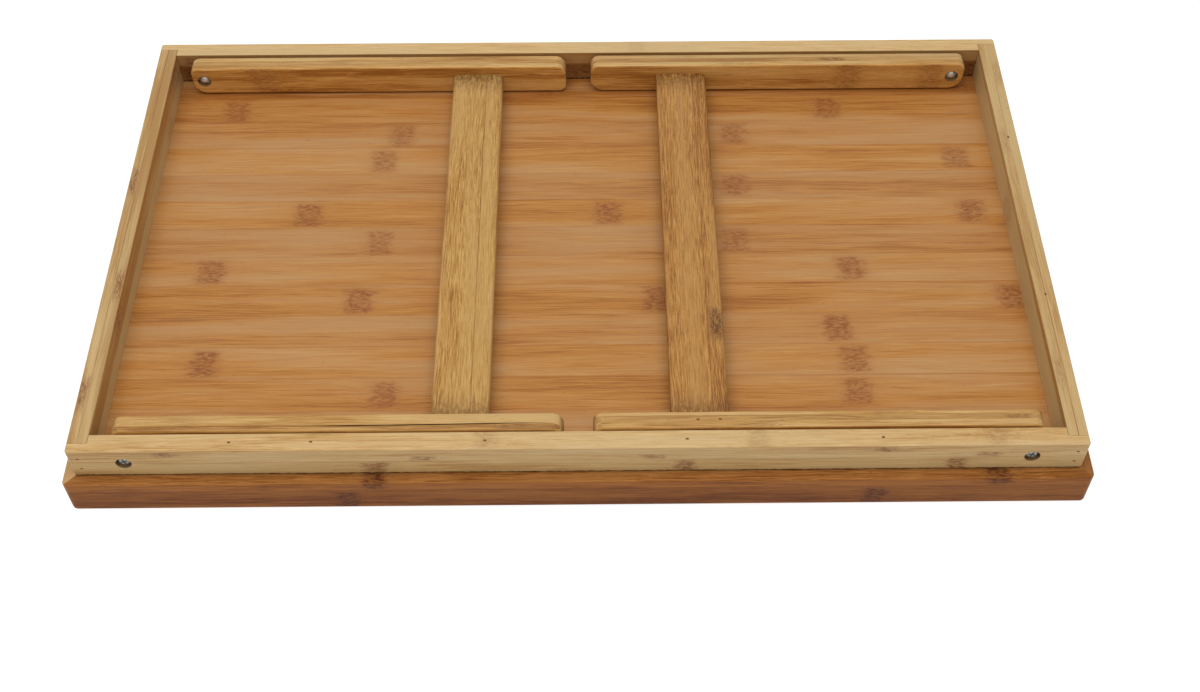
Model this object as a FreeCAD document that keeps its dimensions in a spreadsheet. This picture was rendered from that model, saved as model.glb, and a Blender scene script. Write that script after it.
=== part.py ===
import FreeCAD, Part
import os
import Sketcher

# Folding bed tray table in laminated bamboo, drawn as it lies with its legs folded in: upside
# down, the tray on the floor, the underside up.  +X runs along the long side, +Y away from the
# front rail, +Z out of the underside, and the origin is the centre of the tray's mouth.  The
# tray is a rim with a panel let into it.  An apron of four rails stands on its underside and
# carries two leg frames, each two legs and a crossbar, that swing on pivot bolts.

V = FreeCAD.Vector
FRONT, BACK = -1, 1
LEFT, RIGHT = -1, 1

doc = FreeCAD.newDocument("BedTrayTable")

# ---------------------------------------------------------------- driving dimensions, in mm
SIZES = (
    ("tray_length", 500, "outside of the tray rim, along the long side"),
    ("tray_width", 300, "outside of the tray rim, across"),
    ("rim_height", 21.8, "depth of the rim bars"),
    ("rim_thickness", 12, "width of the rim bars around the tray"),
    ("rim_corner_radius", 3, "rounding of the tray's upright corners"),
    ("mouth_edge_radius", 1.8, "rounding of the rim around the tray's mouth"),
    ("lip_edge_chamfer", 0.9, "bevel of the rim's lip on the underside"),
    ("ledge_width", 5, "width of the ledge inside the rim that the panel sits on"),
    ("tongue_thickness", 4, "thickness of the panel's edge on the ledge"),
    ("panel_thickness", 7, "thickness of the tray panel"),
    ("panel_gap", 0.2, "gap around the panel inside the rim"),
    ("panel_chamfer", 0.5, "chamfer around the panel's face in the tray"),
    ("apron_inset", 5.7, "set-back of the apron from the outside of the rim"),
    ("rail_thickness", 10, "thickness of the apron rails"),
    ("rail_height", 20.4, "depth of the apron rails"),
    ("rail_edge_chamfer", 0.7, "eased arrises on the rails' free edges"),
    ("rail_corner_radius", 1.4, "rounding of the apron's upright corners"),
    ("lap_thickness", 5, "what the corner rabbet leaves of a long rail"),
    ("joint_gap", 0.1, "glue gap in rabbets and mortises"),
    ("leg_gap", 1.5, "space between a long rail and the leg beside it"),
    ("leg_thickness", 10, "thickness of the legs"),
    ("leg_depth", 19.5, "depth of the legs' section"),
    ("leg_setback", 0.2, "set-back of the folded legs below the apron's edge"),
    ("leg_edge_chamfer", 0.7, "eased arrises of the legs"),
    ("pivot_setback", 16.1, "from an end rail's inner face to the pivot axis"),
    ("pivot_overhang", 7, "from the pivot axis to the near end of the leg"),
    ("pivot_outer_radius", 5, "pivot end, corner on the free edge"),
    ("pivot_inner_radius", 8, "pivot end, corner beside the tray"),
    ("foot_gap", 14.2, "between the feet of the two folded frames"),
    ("left_foot_outer_radius", 6.5, "left feet, corner on the free edge"),
    ("left_foot_inner_radius", 4.5, "left feet, corner beside the tray"),
    ("right_foot_outer_radius", 5, "right feet, corner on the free edge"),
    ("right_foot_inner_radius", 8, "right feet, corner beside the tray"),
    ("left_bar_reach", 160.1, "from the left pivot axis to its crossbar's middle"),
    ("right_bar_reach", 158.7, "from the right pivot axis to its crossbar's middle"),
    ("bar_width", 28.7, "width of the crossbars"),
    ("bar_thickness", 7.5, "thickness of the crossbars"),
    ("bar_edge_radius", 2.4, "rounding of the crossbars' long edges"),
    ("tenon_width", 21, "width of the crossbars' tenons"),
    ("tenon_thickness", 4.4, "thickness of the tenons"),
    ("tenon_length", 6.6, "how far a tenon goes into its leg"),
    ("bolt_diameter", 4, "shank of the pivot bolts"),
    ("bolt_clearance", 0.2, "radial clearance of a bolt in its rail"),
    ("pivot_clearance", 0.05, "radial running clearance of a leg on its bolt"),
    ("bolt_end_setback", 0.6, "how far a bolt's end lies inside the leg's face"),
    ("bolt_end_chamfer", 0.8, "chamfer of a bolt's end"),
    ("head_diameter", 7.6, "diameter of the bolt heads"),
    ("head_height", 2.6, "height of the bolt heads"),
    ("head_chamfer", 1.1, "bevel around the bolt heads"),
    ("recess_span", 4.2, "span of the cross recess in a head"),
    ("recess_slot", 0.9, "width of the slots of the cross recess"),
    ("recess_depth", 1.3, "depth of the cross recess"),
    ("rail_bore", 8.2, "counterbore for a head in a long rail"),
    ("rail_bore_depth", 3, "depth of that counterbore"),
    ("leg_bore", 8.7, "counterbore for a nut in a leg"),
    ("leg_bore_depth", 6, "depth of that counterbore"),
    ("nut_flats", 7, "nut, across its flats"),
    ("nut_height", 3.2, "height of the nuts"),
    ("nut_gap", 0.05, "radial gap between a nut and its bolt's thread"),
    ("washer_diameter", 9.6, "outside of the spacer washers"),
    ("washer_play", 0.1, "play on each side of a washer"),
    ("brad_width", 1.5, "section of the flat wire brads, along the grain"),
    ("brad_thickness", 1.1, "section of the brads, across the grain"),
    ("brad_gap", 0.05, "gap around a brad"),
    ("brad_sink", 0.6, "how deep the brads are set below the wood"),
    ("corner_brad_length", 17, "brads through the corner laps"),
    ("corner_brad_margin", 6.2, "corner brads, from the rail's two edges"),
    ("apron_brad_length", 29, "brads through the apron into the rim"),
    ("front_brad_1_at", -166.7, "place of the apron brads along the front rail"),
    ("front_brad_2_at", -127.6, "the second"),
    ("front_brad_3_at", -44.6, "the third"),
    ("front_brad_4_at", 52, "the fourth"),
    ("front_brad_5_at", 145.7, "the fifth"),
    ("right_brad_1_at", -51.3, "place of the apron brads along the right rail"),
    ("right_brad_2_at", 62.4, "the second"),
    ("bar_brad_length", 14, "brads through the legs into the tenons"),
    ("left_bar_brad_pitch", 5.7, "between the two brads of a left joint"),
    ("right_bar_brad_pitch", 10.7, "between the two brads of a right joint"),
    ("bar_brad_offset", 3.4, "from the crossbar's middle towards the pivot"),
)

sheet = doc.addObject("Spreadsheet::Sheet", "Sizes")
for row, (alias, number, meaning) in enumerate(SIZES, start=1):
    sheet.set(f"A{row}", meaning)
    sheet.set(f"B{row}", str(number))
    sheet.setAlias(f"B{row}", alias)
doc.recompute()

# ---------------------------------------------------------------- sizes that follow from them
RIM_INSIDE = "(Sizes.rim_thickness - Sizes.ledge_width)"
TONGUE_INSET = f"({RIM_INSIDE} + Sizes.panel_gap)"
FIELD_INSET = "(Sizes.rim_thickness + Sizes.panel_gap)"
LEDGE_Z = "(Sizes.rim_height - Sizes.tongue_thickness)"
FIELD_DEPTH = "(Sizes.panel_thickness - Sizes.tongue_thickness)"
APRON_LENGTH = "(Sizes.tray_length - 2 * Sizes.apron_inset)"
APRON_WIDTH = "(Sizes.tray_width - 2 * Sizes.apron_inset)"
APRON_TOP = "(Sizes.rim_height + Sizes.rail_height)"
LAP_GAP = "(Sizes.lap_thickness + Sizes.joint_gap)"
END_RAIL_LENGTH = f"({APRON_WIDTH} - 2 * {LAP_GAP})"
RAIL_MIDDLE_X = f"({APRON_LENGTH} / 2 - Sizes.rail_thickness / 2)"
RAIL_MIDDLE_Y = f"({APRON_WIDTH} / 2 - Sizes.rail_thickness / 2)"
PIVOT_X = f"({APRON_LENGTH} / 2 - Sizes.rail_thickness - Sizes.pivot_setback)"
PIVOT_Z = f"({APRON_TOP} - Sizes.leg_setback - Sizes.leg_depth / 2)"
RAIL_INNER_Y = f"({APRON_WIDTH} / 2 - Sizes.rail_thickness)"
LEG_OUTER_Y = f"({RAIL_INNER_Y} - Sizes.leg_gap)"
LEG_INNER_Y = f"({LEG_OUTER_Y} - Sizes.leg_thickness)"
LEG_MIDDLE_Y = f"({LEG_OUTER_Y} - Sizes.leg_thickness / 2)"
FOOT_REACH = f"({PIVOT_X} - Sizes.foot_gap / 2)"
BOLT_HOLE = "(Sizes.bolt_diameter + 2 * Sizes.bolt_clearance)"
PIVOT_HOLE = "(Sizes.bolt_diameter + 2 * Sizes.pivot_clearance)"
SEAT_Y = f"({APRON_WIDTH} / 2 - Sizes.rail_bore_depth)"
SHANK_LENGTH = f"({SEAT_Y} - {LEG_INNER_Y} - Sizes.bolt_end_setback)"
BRAD_TOP = f"({APRON_TOP} - Sizes.brad_sink)"
APRON_BRAD_FOOT = f"({BRAD_TOP} - Sizes.apron_brad_length)"
FRONT_BRADS = [f"Sizes.front_brad_{number}_at" for number in range(1, 6)]
RIGHT_BRADS = [f"Sizes.right_brad_{number}_at" for number in range(1, 3)]


# ---------------------------------------------------------------- drawing helpers
def size(expression):
    """The number that an expression over the sheet stands for now."""
    return float(sheet.evalExpression(expression))


def new_body(label):
    body = doc.addObject("PartDesign::Body", label)
    body.Label = label
    return body


def new_sketch(body, name, role, height="0"):
    """A sketch on one of the body's own origin planes, moved along the plane's normal."""
    sketch = body.newObject("Sketcher::SketchObject", name)
    plane = next(item for item in body.Origin.OriginFeatures if item.Role == role)
    sketch.AttachmentSupport = (plane, [""])
    sketch.MapMode = "FlatFace"
    sketch.setExpression("AttachmentOffset.Base.z", height)
    return sketch


def pin(sketch, item, end, x, y):
    """Holds one point of the sketch at x, y, or on an axis where that coordinate is 0."""
    for kind, axis, place in (("DistanceX", -2, x), ("DistanceY", -1, y)):
        if place == "0":
            sketch.addConstraint(Sketcher.Constraint("PointOnObject", item, end, axis))
        else:
            number = sketch.addConstraint(
                Sketcher.Constraint(kind, -1, 1, item, end, size(place)))
            sketch.setExpression(f"Constraints[{number}]", place)


def polygon(sketch, corners):
    """A closed outline through the given corners, each held by its two coordinates."""
    first = sketch.GeometryCount
    count = len(corners)
    points = [V(size(x), size(y), 0) for x, y in corners]
    for number in range(count):
        line = Part.LineSegment(points[number], points[(number + 1) % count])
        sketch.addGeometry(line, False)
    for number in range(count):
        following = first + (number + 1) % count
        sketch.addConstraint(Sketcher.Constraint("Coincident", first + number, 2, following, 1))
    for number, (x, y) in enumerate(corners):
        pin(sketch, first + number, 1, x, y)


def rectangle(sketch, x_low, x_high, y_low, y_high):
    polygon(sketch, [(x_low, y_low), (x_high, y_low), (x_high, y_high), (x_low, y_high)])


def circle(sketch, x, y, diameter):
    item = sketch.addGeometry(
        Part.Circle(V(size(x), size(y), 0), V(0, 0, 1), size(diameter) / 2), False)
    pin(sketch, item, 3, x, y)
    number = sketch.addConstraint(Sketcher.Constraint("Diameter", item, size(diameter)))
    sketch.setExpression(f"Constraints[{number}]", diameter)


def brad_section(sketch, x, y, gap="0", upright=False):
    """The section of a flat brad around x, y, lying along the sketch's first axis or upright."""
    wide = f"(Sizes.brad_width / 2 + {gap})"
    thick = f"(Sizes.brad_thickness / 2 + {gap})"
    if upright:
        wide, thick = thick, wide
    rectangle(sketch, f"({x} - {wide})", f"({x} + {wide})", f"({y} - {thick})", f"({y} + {thick})")


def pad(body, name, sketch, length, turned=False):
    feature = body.newObject("PartDesign::Pad", name)
    feature.Profile = sketch
    feature.setExpression("Length", length)
    feature.Reversed = turned
    doc.recompute()
    return feature


def pocket(body, name, sketch, depth=None, turned=False):
    """Cuts the sketch into the body, right through it where no depth is given."""
    before = body.Shape.Volume
    feature = body.newObject("PartDesign::Pocket", name)
    feature.Profile = sketch
    feature.Reversed = turned
    if depth is None:
        feature.Type = "ThroughAll"
    else:
        feature.setExpression("Length", depth)
    doc.recompute()
    if not feature.Shape.Volume < before:
        raise RuntimeError(f"{body.Label}: {name} cuts nothing")
    return feature


def soften(body, name, radius, chosen, kind="Fillet"):
    """Fillets or chamfers the edges of the body's last feature whose middle is chosen."""
    base = body.Tip
    names = []
    for number, edge in enumerate(base.Shape.Edges, start=1):
        middle = edge.valueAt((edge.FirstParameter + edge.LastParameter) / 2)
        if chosen(middle):
            names.append(f"Edge{number}")
    feature = body.newObject(f"PartDesign::{kind}", name)
    feature.Base = (base, names)
    feature.setExpression("Radius" if kind == "Fillet" else "Size", radius)
    doc.recompute()
    return feature


def same(number, expression):
    return abs(number - size(expression)) < 1e-4


def place(body, x, y, z, axis=V(0, 0, 1), turn=0):
    """Puts the finished body in the table's frame."""
    body.Placement = FreeCAD.Placement(V(0, 0, 0), FreeCAD.Rotation(axis, turn))
    for letter, expression in (("x", x), ("y", y), ("z", z)):
        body.setExpression(f"Placement.Base.{letter}", expression)


# ---------------------------------------------------------------- tray panel
# A board of bamboo strips glued side by side.  Its face in the tray fills the opening of the
# rim, and the thinner tongue around it lies on the rim's ledge, flush with the rim's back.
panel = new_body("tabletop_panel")
half_length = f"(Sizes.tray_length / 2 - {FIELD_INSET})"
half_width = f"(Sizes.tray_width / 2 - {FIELD_INSET})"
field = new_sketch(panel, "PanelFieldSketch", "XY_Plane")
rectangle(field, f"-{half_length}", half_length, f"-{half_width}", half_width)
pad(panel, "PanelField", field, "Sizes.panel_thickness")
soften(panel, "PanelFieldChamfer", "Sizes.panel_chamfer",
       lambda point: abs(point.z) < 1e-4, kind="Chamfer")
tongue_length = f"(Sizes.tray_length / 2 - {TONGUE_INSET})"
tongue_width = f"(Sizes.tray_width / 2 - {TONGUE_INSET})"
tongue = new_sketch(panel, "PanelTongueSketch", "XY_Plane", FIELD_DEPTH)
rectangle(tongue, f"-{tongue_length}", tongue_length, f"-{tongue_width}", tongue_width)
pad(panel, "PanelTongue", tongue, "Sizes.tongue_thickness")
panel_holes = new_sketch(panel, "PanelBradSketch", "XY_Plane", "Sizes.panel_thickness")
for along in FRONT_BRADS:
    brad_section(panel_holes, along, f"-{RAIL_MIDDLE_Y}", "Sizes.brad_gap")
for along in RIGHT_BRADS:
    brad_section(panel_holes, RAIL_MIDDLE_X, along, "Sizes.brad_gap", upright=True)
pocket(panel, "PanelBradHoles", panel_holes)
place(panel, "0", "0", "(Sizes.rim_height - Sizes.panel_thickness)")


# ---------------------------------------------------------------- tray rim
# Four bars, mitred at the corners, rounded over at the mouth and bevelled at the lip.  Each is drawn
# from its outer face inwards, with a rabbet along its back that leaves the panel's ledge.
def rim_bar(label, length, x, y, turn, brads=()):
    bar = new_body(label)
    reach = f"({length} / 2)"
    inner = f"({reach} - Sizes.rim_thickness)"
    section = new_sketch(bar, f"{label}_Outline", "XY_Plane")
    rectangle(section, f"-{reach}", reach, "0", "Sizes.rim_thickness")
    pad(bar, f"{label}_Bar", section, "Sizes.rim_height")
    soften(bar, f"{label}_Corners", "Sizes.rim_corner_radius",
           lambda point: same(abs(point.x), reach) and abs(point.y) < 1e-4)
    soften(bar, f"{label}_Mouth", "Sizes.mouth_edge_radius", lambda point: abs(point.z) < 1e-4)
    soften(bar, f"{label}_Lip", "Sizes.lip_edge_chamfer",
           lambda point: same(point.z, "Sizes.rim_height")
           and not same(point.y, "Sizes.rim_thickness"), kind="Chamfer")
    rabbet = new_sketch(bar, f"{label}_RabbetSketch", "XY_Plane", "Sizes.rim_height")
    rectangle(rabbet, f"-{reach}", reach, RIM_INSIDE, "Sizes.rim_thickness")
    pocket(bar, f"{label}_Rabbet", rabbet, "Sizes.tongue_thickness")
    mitres = new_sketch(bar, f"{label}_MitreSketch", "XY_Plane", "Sizes.rim_height")
    for way in ("-", ""):
        polygon(mitres, [(f"{way}{reach}", "0"), (f"{way}{reach}", "Sizes.rim_thickness"),
                         (f"{way}{inner}", "Sizes.rim_thickness")])
    pocket(bar, f"{label}_Mitres", mitres)
    if brads:
        holes = new_sketch(bar, f"{label}_BradSketch", "XY_Plane", LEDGE_Z)
        for along in brads:
            brad_section(holes, along, "(Sizes.apron_inset + Sizes.rail_thickness / 2)",
                         "Sizes.brad_gap")
        pocket(bar, f"{label}_BradHoles", holes, f"({LEDGE_Z} - {APRON_BRAD_FOOT})")
    place(bar, x, y, "0", turn=turn)


rim_bar("rim_front", "Sizes.tray_length", "0", "-(Sizes.tray_width / 2)", 0, FRONT_BRADS)
rim_bar("rim_back", "Sizes.tray_length", "0", "Sizes.tray_width / 2", 180)
rim_bar("rim_right", "Sizes.tray_width", "Sizes.tray_length / 2", "0", 90, RIGHT_BRADS)
rim_bar("rim_left", "Sizes.tray_width", "-(Sizes.tray_length / 2)", "0", -90)


# ---------------------------------------------------------------- apron, long rails
# A long rail is rabbeted at both ends, where a lap is left outside the end rail's end.  Two
# brads go through each lap, and a counterbored hole near each end takes a pivot bolt.
def long_rail(label, y, turn, brads=()):
    rail = new_body(label)
    reach = f"({APRON_LENGTH} / 2)"
    outline = new_sketch(rail, f"{label}_Outline", "XY_Plane")
    rectangle(outline, f"-{reach}", reach, "0", "Sizes.rail_thickness")
    pad(rail, f"{label}_Board", outline, "Sizes.rail_height")
    soften(rail, f"{label}_Corners", "Sizes.rail_corner_radius",
           lambda point: same(abs(point.x), reach) and abs(point.y) < 1e-4)
    soften(rail, f"{label}_Edges", "Sizes.rail_edge_chamfer",
           lambda point: same(point.z, "Sizes.rail_height"), kind="Chamfer")
    laps = new_sketch(rail, f"{label}_LapSketch", "XY_Plane", "Sizes.rail_height")
    shoulder = f"({reach} - Sizes.rail_thickness - Sizes.joint_gap)"
    for way in ("-", ""):
        rectangle(laps, f"{way}{shoulder}", f"{way}{reach}",
                  "Sizes.lap_thickness", "Sizes.rail_thickness")
    pocket(rail, f"{label}_Laps", laps)
    corner_holes = new_sketch(rail, f"{label}_CornerBradSketch", "XZ_Plane")
    for way in ("-", ""):
        for height in ("Sizes.corner_brad_margin",
                       "(Sizes.rail_height - Sizes.corner_brad_margin)"):
            brad_section(corner_holes, f"{way}{RAIL_MIDDLE_X}", height, "Sizes.brad_gap")
    pocket(rail, f"{label}_CornerBradHoles", corner_holes)
    pivot_holes = new_sketch(rail, f"{label}_PivotSketch", "XZ_Plane")
    for way in ("-", ""):
        circle(pivot_holes, f"{way}{PIVOT_X}", f"({PIVOT_Z} - Sizes.rim_height)", BOLT_HOLE)
    doc.recompute()
    before = rail.Shape.Volume
    bores = rail.newObject("PartDesign::Hole", f"{label}_PivotBores")
    bores.Profile = pivot_holes
    bores.ThreadType = "None"
    bores.DepthType = "ThroughAll"
    bores.HoleCutType = "Counterbore"
    bores.HoleCutCustomValues = True
    bores.setExpression("Diameter", BOLT_HOLE)
    bores.setExpression("HoleCutDiameter", "Sizes.rail_bore")
    bores.setExpression("HoleCutDepth", "Sizes.rail_bore_depth")
    doc.recompute()
    if not rail.Shape.Volume < before:
        raise RuntimeError(f"{label}: the pivot bores cut nothing")
    if brads:
        holes = new_sketch(rail, f"{label}_BradSketch", "XY_Plane", "Sizes.rail_height")
        for along in brads:
            brad_section(holes, along, "(Sizes.rail_thickness / 2)", "Sizes.brad_gap")
        pocket(rail, f"{label}_BradHoles", holes)
    place(rail, "0", y, "Sizes.rim_height", turn=turn)


long_rail("apron_front", f"-({APRON_WIDTH} / 2)", 0, FRONT_BRADS)
long_rail("apron_back", f"({APRON_WIDTH} / 2)", 180)


# ---------------------------------------------------------------- apron, end rails
# An end rail runs from lap to lap, square at both ends, with a brad hole in line with each
# brad of the laps.
def end_rail(label, x, turn, brads=()):
    rail = new_body(label)
    reach = f"({END_RAIL_LENGTH} / 2)"
    outline = new_sketch(rail, f"{label}_Outline", "XY_Plane")
    rectangle(outline, f"-{reach}", reach, "0", "Sizes.rail_thickness")
    pad(rail, f"{label}_Board", outline, "Sizes.rail_height")
    soften(rail, f"{label}_Edges", "Sizes.rail_edge_chamfer",
           lambda point: same(point.z, "Sizes.rail_height") and not same(abs(point.x), reach),
           kind="Chamfer")
    nail_reach = f"(Sizes.corner_brad_length + Sizes.brad_sink - {LAP_GAP} + Sizes.brad_gap)"
    for way, turned in (("-", True), ("", False)):
        holes = new_sketch(rail, f"{label}_CornerBradSketch", "YZ_Plane", f"{way}{reach}")
        for height in ("Sizes.corner_brad_margin",
                       "(Sizes.rail_height - Sizes.corner_brad_margin)"):
            brad_section(holes, "(Sizes.rail_thickness / 2)", height, "Sizes.brad_gap")
        pocket(rail, f"{label}_CornerBradHoles", holes, nail_reach, turned=turned)
    if brads:
        holes = new_sketch(rail, f"{label}_BradSketch", "XY_Plane", "Sizes.rail_height")
        for along in brads:
            brad_section(holes, along, "(Sizes.rail_thickness / 2)", "Sizes.brad_gap")
        pocket(rail, f"{label}_BradHoles", holes)
    place(rail, x, "0", "Sizes.rim_height", turn=turn)


end_rail("apron_right", f"({APRON_LENGTH} / 2)", 90, RIGHT_BRADS)
end_rail("apron_left", f"-({APRON_LENGTH} / 2)", -90)


# ---------------------------------------------------------------- legs
# A leg is drawn from its pivot axis, with its outer face at 0: `hand` is the side of that face
# on which its thickness lies.  Its corners are rounded one by one, its arrises eased all
# round, and it is mortised for the crossbar and counterbored for the bolt's nut.
def leg(label, side, hand, y, foot_outer, foot_inner, bar_reach, brad_pitch):
    part = new_body(label)
    half = "(Sizes.leg_depth / 2)"
    outline = new_sketch(part, f"{label}_Outline", "XZ_Plane")
    rectangle(outline, "-Sizes.pivot_overhang", FOOT_REACH, f"-{half}", half)
    inward = hand > 0
    pad(part, f"{label}_Board", outline, "Sizes.leg_thickness", turned=inward)
    corners = (
        ("PivotOuter", "-Sizes.pivot_overhang", half, "Sizes.pivot_outer_radius"),
        ("PivotInner", "-Sizes.pivot_overhang", f"-{half}", "Sizes.pivot_inner_radius"),
        ("FootOuter", FOOT_REACH, half, foot_outer),
        ("FootInner", FOOT_REACH, f"-{half}", foot_inner),
    )
    for name, x, z, radius in corners:
        soften(part, f"{label}_{name}", radius,
               lambda point: same(point.x, x) and same(point.z, z))
    soften(part, f"{label}_Edges", "Sizes.leg_edge_chamfer",
           lambda point: abs(point.y) < 1e-4 or same(abs(point.y), "Sizes.leg_thickness"),
           kind="Chamfer")
    inner_face = "-Sizes.leg_thickness" if inward else "Sizes.leg_thickness"
    mortise = new_sketch(part, f"{label}_MortiseSketch", "XZ_Plane", inner_face)
    wide = "(Sizes.tenon_width / 2 + Sizes.joint_gap)"
    high = "(Sizes.tenon_thickness / 2 + Sizes.joint_gap)"
    rectangle(mortise, f"({bar_reach} - {wide})", f"({bar_reach} + {wide})", f"-{high}", high)
    pocket(part, f"{label}_Mortise", mortise, "(Sizes.tenon_length + Sizes.joint_gap)",
           turned=inward)
    nails = new_sketch(part, f"{label}_BradSketch", "XY_Plane", half)
    across = "Sizes.leg_thickness / 2" if inward else "-(Sizes.leg_thickness / 2)"
    for way in ("-", "+"):
        along = f"({bar_reach} - Sizes.bar_brad_offset {way} {brad_pitch} / 2)"
        brad_section(nails, along, across, "Sizes.brad_gap")
    pocket(part, f"{label}_BradHoles", nails, "(Sizes.bar_brad_length + Sizes.brad_sink)")
    bore = new_sketch(part, f"{label}_PivotSketch", "XZ_Plane", inner_face)
    circle(bore, "0", "0", PIVOT_HOLE)
    doc.recompute()
    before = part.Shape.Volume
    pivot = part.newObject("PartDesign::Hole", f"{label}_PivotBore")
    pivot.Profile = bore
    pivot.ThreadType = "None"
    pivot.DepthType = "ThroughAll"
    pivot.Reversed = inward
    pivot.HoleCutType = "Counterbore"
    pivot.HoleCutCustomValues = True
    pivot.setExpression("Diameter", PIVOT_HOLE)
    pivot.setExpression("HoleCutDiameter", "Sizes.leg_bore")
    pivot.setExpression("HoleCutDepth", "Sizes.leg_bore_depth")
    doc.recompute()
    if not part.Shape.Volume < before:
        raise RuntimeError(f"{label}: the pivot bore cuts nothing")
    x = f"-{PIVOT_X}" if side == LEFT else PIVOT_X
    place(part, x, y, PIVOT_Z, turn=0 if side == LEFT else 180)


# ---------------------------------------------------------------- crossbars
# A flat board between the two legs of a frame, rounded along its edges, with a tenon at each
# end that runs into the leg's mortise and is held there by the brads through the leg's edge.
def crossbar(label, side, bar_reach, brad_pitch):
    bar = new_body(label)
    wide = "(Sizes.bar_width / 2)"
    high = "(Sizes.bar_thickness / 2)"
    outline = new_sketch(bar, f"{label}_Outline", "XZ_Plane", f"-{LEG_INNER_Y}")
    rectangle(outline, f"-{wide}", wide, f"-{high}", high)
    pad(bar, f"{label}_Board", outline, f"(2 * {LEG_INNER_Y})")
    soften(bar, f"{label}_Edges", "Sizes.bar_edge_radius",
           lambda point: same(abs(point.x), wide) and same(abs(point.z), high))
    tenon_reach = f"({LEG_INNER_Y} + Sizes.tenon_length)"
    tenon_wide = "(Sizes.tenon_width / 2)"
    tenon_high = "(Sizes.tenon_thickness / 2)"
    tenons = new_sketch(bar, f"{label}_TenonSketch", "XZ_Plane", f"-{tenon_reach}")
    rectangle(tenons, f"-{tenon_wide}", tenon_wide, f"-{tenon_high}", tenon_high)
    pad(bar, f"{label}_Tenons", tenons, f"(2 * {tenon_reach})")
    towards_pivot = "Sizes.bar_brad_offset" if side == RIGHT else "-Sizes.bar_brad_offset"
    nails = new_sketch(bar, f"{label}_BradSketch", "XY_Plane", high)
    for way in ("-", "+"):
        for across in (f"-{LEG_MIDDLE_Y}", LEG_MIDDLE_Y):
            brad_section(nails, f"({towards_pivot} {way} {brad_pitch} / 2)", across,
                         "Sizes.brad_gap")
    pocket(bar, f"{label}_BradHoles", nails)
    middle = f"({PIVOT_X} - {bar_reach})"
    place(bar, middle if side == RIGHT else f"-{middle}", "0", PIVOT_Z)


FRAMES = (
    ("left", LEFT, "Sizes.left_foot_outer_radius", "Sizes.left_foot_inner_radius",
     "Sizes.left_bar_reach", "Sizes.left_bar_brad_pitch"),
    ("right", RIGHT, "Sizes.right_foot_outer_radius", "Sizes.right_foot_inner_radius",
     "Sizes.right_bar_reach", "Sizes.right_bar_brad_pitch"),
)
for frame, side, foot_outer, foot_inner, bar_reach, brad_pitch in FRAMES:
    for end, front_or_back in (("front", FRONT), ("back", BACK)):
        y = f"-{LEG_OUTER_Y}" if front_or_back == FRONT else LEG_OUTER_Y
        leg(f"{frame}_leg_{end}", side, side * front_or_back, y,
            foot_outer, foot_inner, bar_reach, brad_pitch)
    crossbar(f"{frame}_crossbar", side, bar_reach, brad_pitch)


# ---------------------------------------------------------------- pivot bolts
# Each pivot is a bolt whose bevelled head lies in the rail's counterbore.  It crosses the
# washer and the leg and ends just inside the leg's face.  It is drawn along +Z from the seat
# of its head, as a revolved outline with a cross recess.
def pivot_bolt(label, x, y, turn):
    bolt = new_body(label)
    outline = new_sketch(bolt, f"{label}_Outline", "XZ_Plane")
    shank = "(Sizes.bolt_diameter / 2)"
    head = "(Sizes.head_diameter / 2)"
    polygon(outline, [("0", "-Sizes.head_height"), (head, "-Sizes.head_height"), (head, "0"),
                      (shank, "0"), (shank, SHANK_LENGTH), ("0", SHANK_LENGTH)])
    turned = bolt.newObject("PartDesign::Revolution", f"{label}_Turned")
    turned.Profile = outline
    turned.ReferenceAxis = (outline, ["V_Axis"])
    turned.Angle = 360
    doc.recompute()
    soften(bolt, f"{label}_Head", "Sizes.head_chamfer",
           lambda point: same(point.z, "-Sizes.head_height"), kind="Chamfer")
    soften(bolt, f"{label}_End", "Sizes.bolt_end_chamfer",
           lambda point: same(point.z, SHANK_LENGTH), kind="Chamfer")
    recess = new_sketch(bolt, f"{label}_RecessSketch", "XY_Plane", "-Sizes.head_height")
    span = "(Sizes.recess_span / 2)"
    slot = "(Sizes.recess_slot / 2)"
    polygon(recess, [(span, f"-{slot}"), (span, slot), (slot, slot), (slot, span),
                     (f"-{slot}", span), (f"-{slot}", slot), (f"-{span}", slot),
                     (f"-{span}", f"-{slot}"), (f"-{slot}", f"-{slot}"),
                     (f"-{slot}", f"-{span}"), (slot, f"-{span}"), (slot, f"-{slot}")])
    pocket(bolt, f"{label}_Recess", recess, "Sizes.recess_depth", turned=True)
    place(bolt, x, y, PIVOT_Z, axis=V(1, 0, 0), turn=turn)


# ---------------------------------------------------------------- nuts
# A hexagon nut in the leg's counterbore, drawn along +Z from its seat.
def pivot_nut(label, x, y, turn):
    nut = new_body(label)
    flat = "(Sizes.nut_flats / 2)"
    point = f"({flat} / cos(30 deg))"
    hexagon = new_sketch(nut, f"{label}_Outline", "XY_Plane")
    polygon(hexagon, [(point, "0"), (f"({point} / 2)", flat), (f"-({point} / 2)", flat),
                      (f"-{point}", "0"), (f"-({point} / 2)", f"-{flat}"),
                      (f"({point} / 2)", f"-{flat}")])
    pad(nut, f"{label}_Hexagon", hexagon, "Sizes.nut_height")
    bore = new_sketch(nut, f"{label}_BoreSketch", "XY_Plane", "Sizes.nut_height")
    circle(bore, "0", "0", "(Sizes.bolt_diameter + 2 * Sizes.nut_gap)")
    pocket(nut, f"{label}_Bore", bore)
    place(nut, x, y, PIVOT_Z, axis=V(1, 0, 0), turn=turn)


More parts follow.
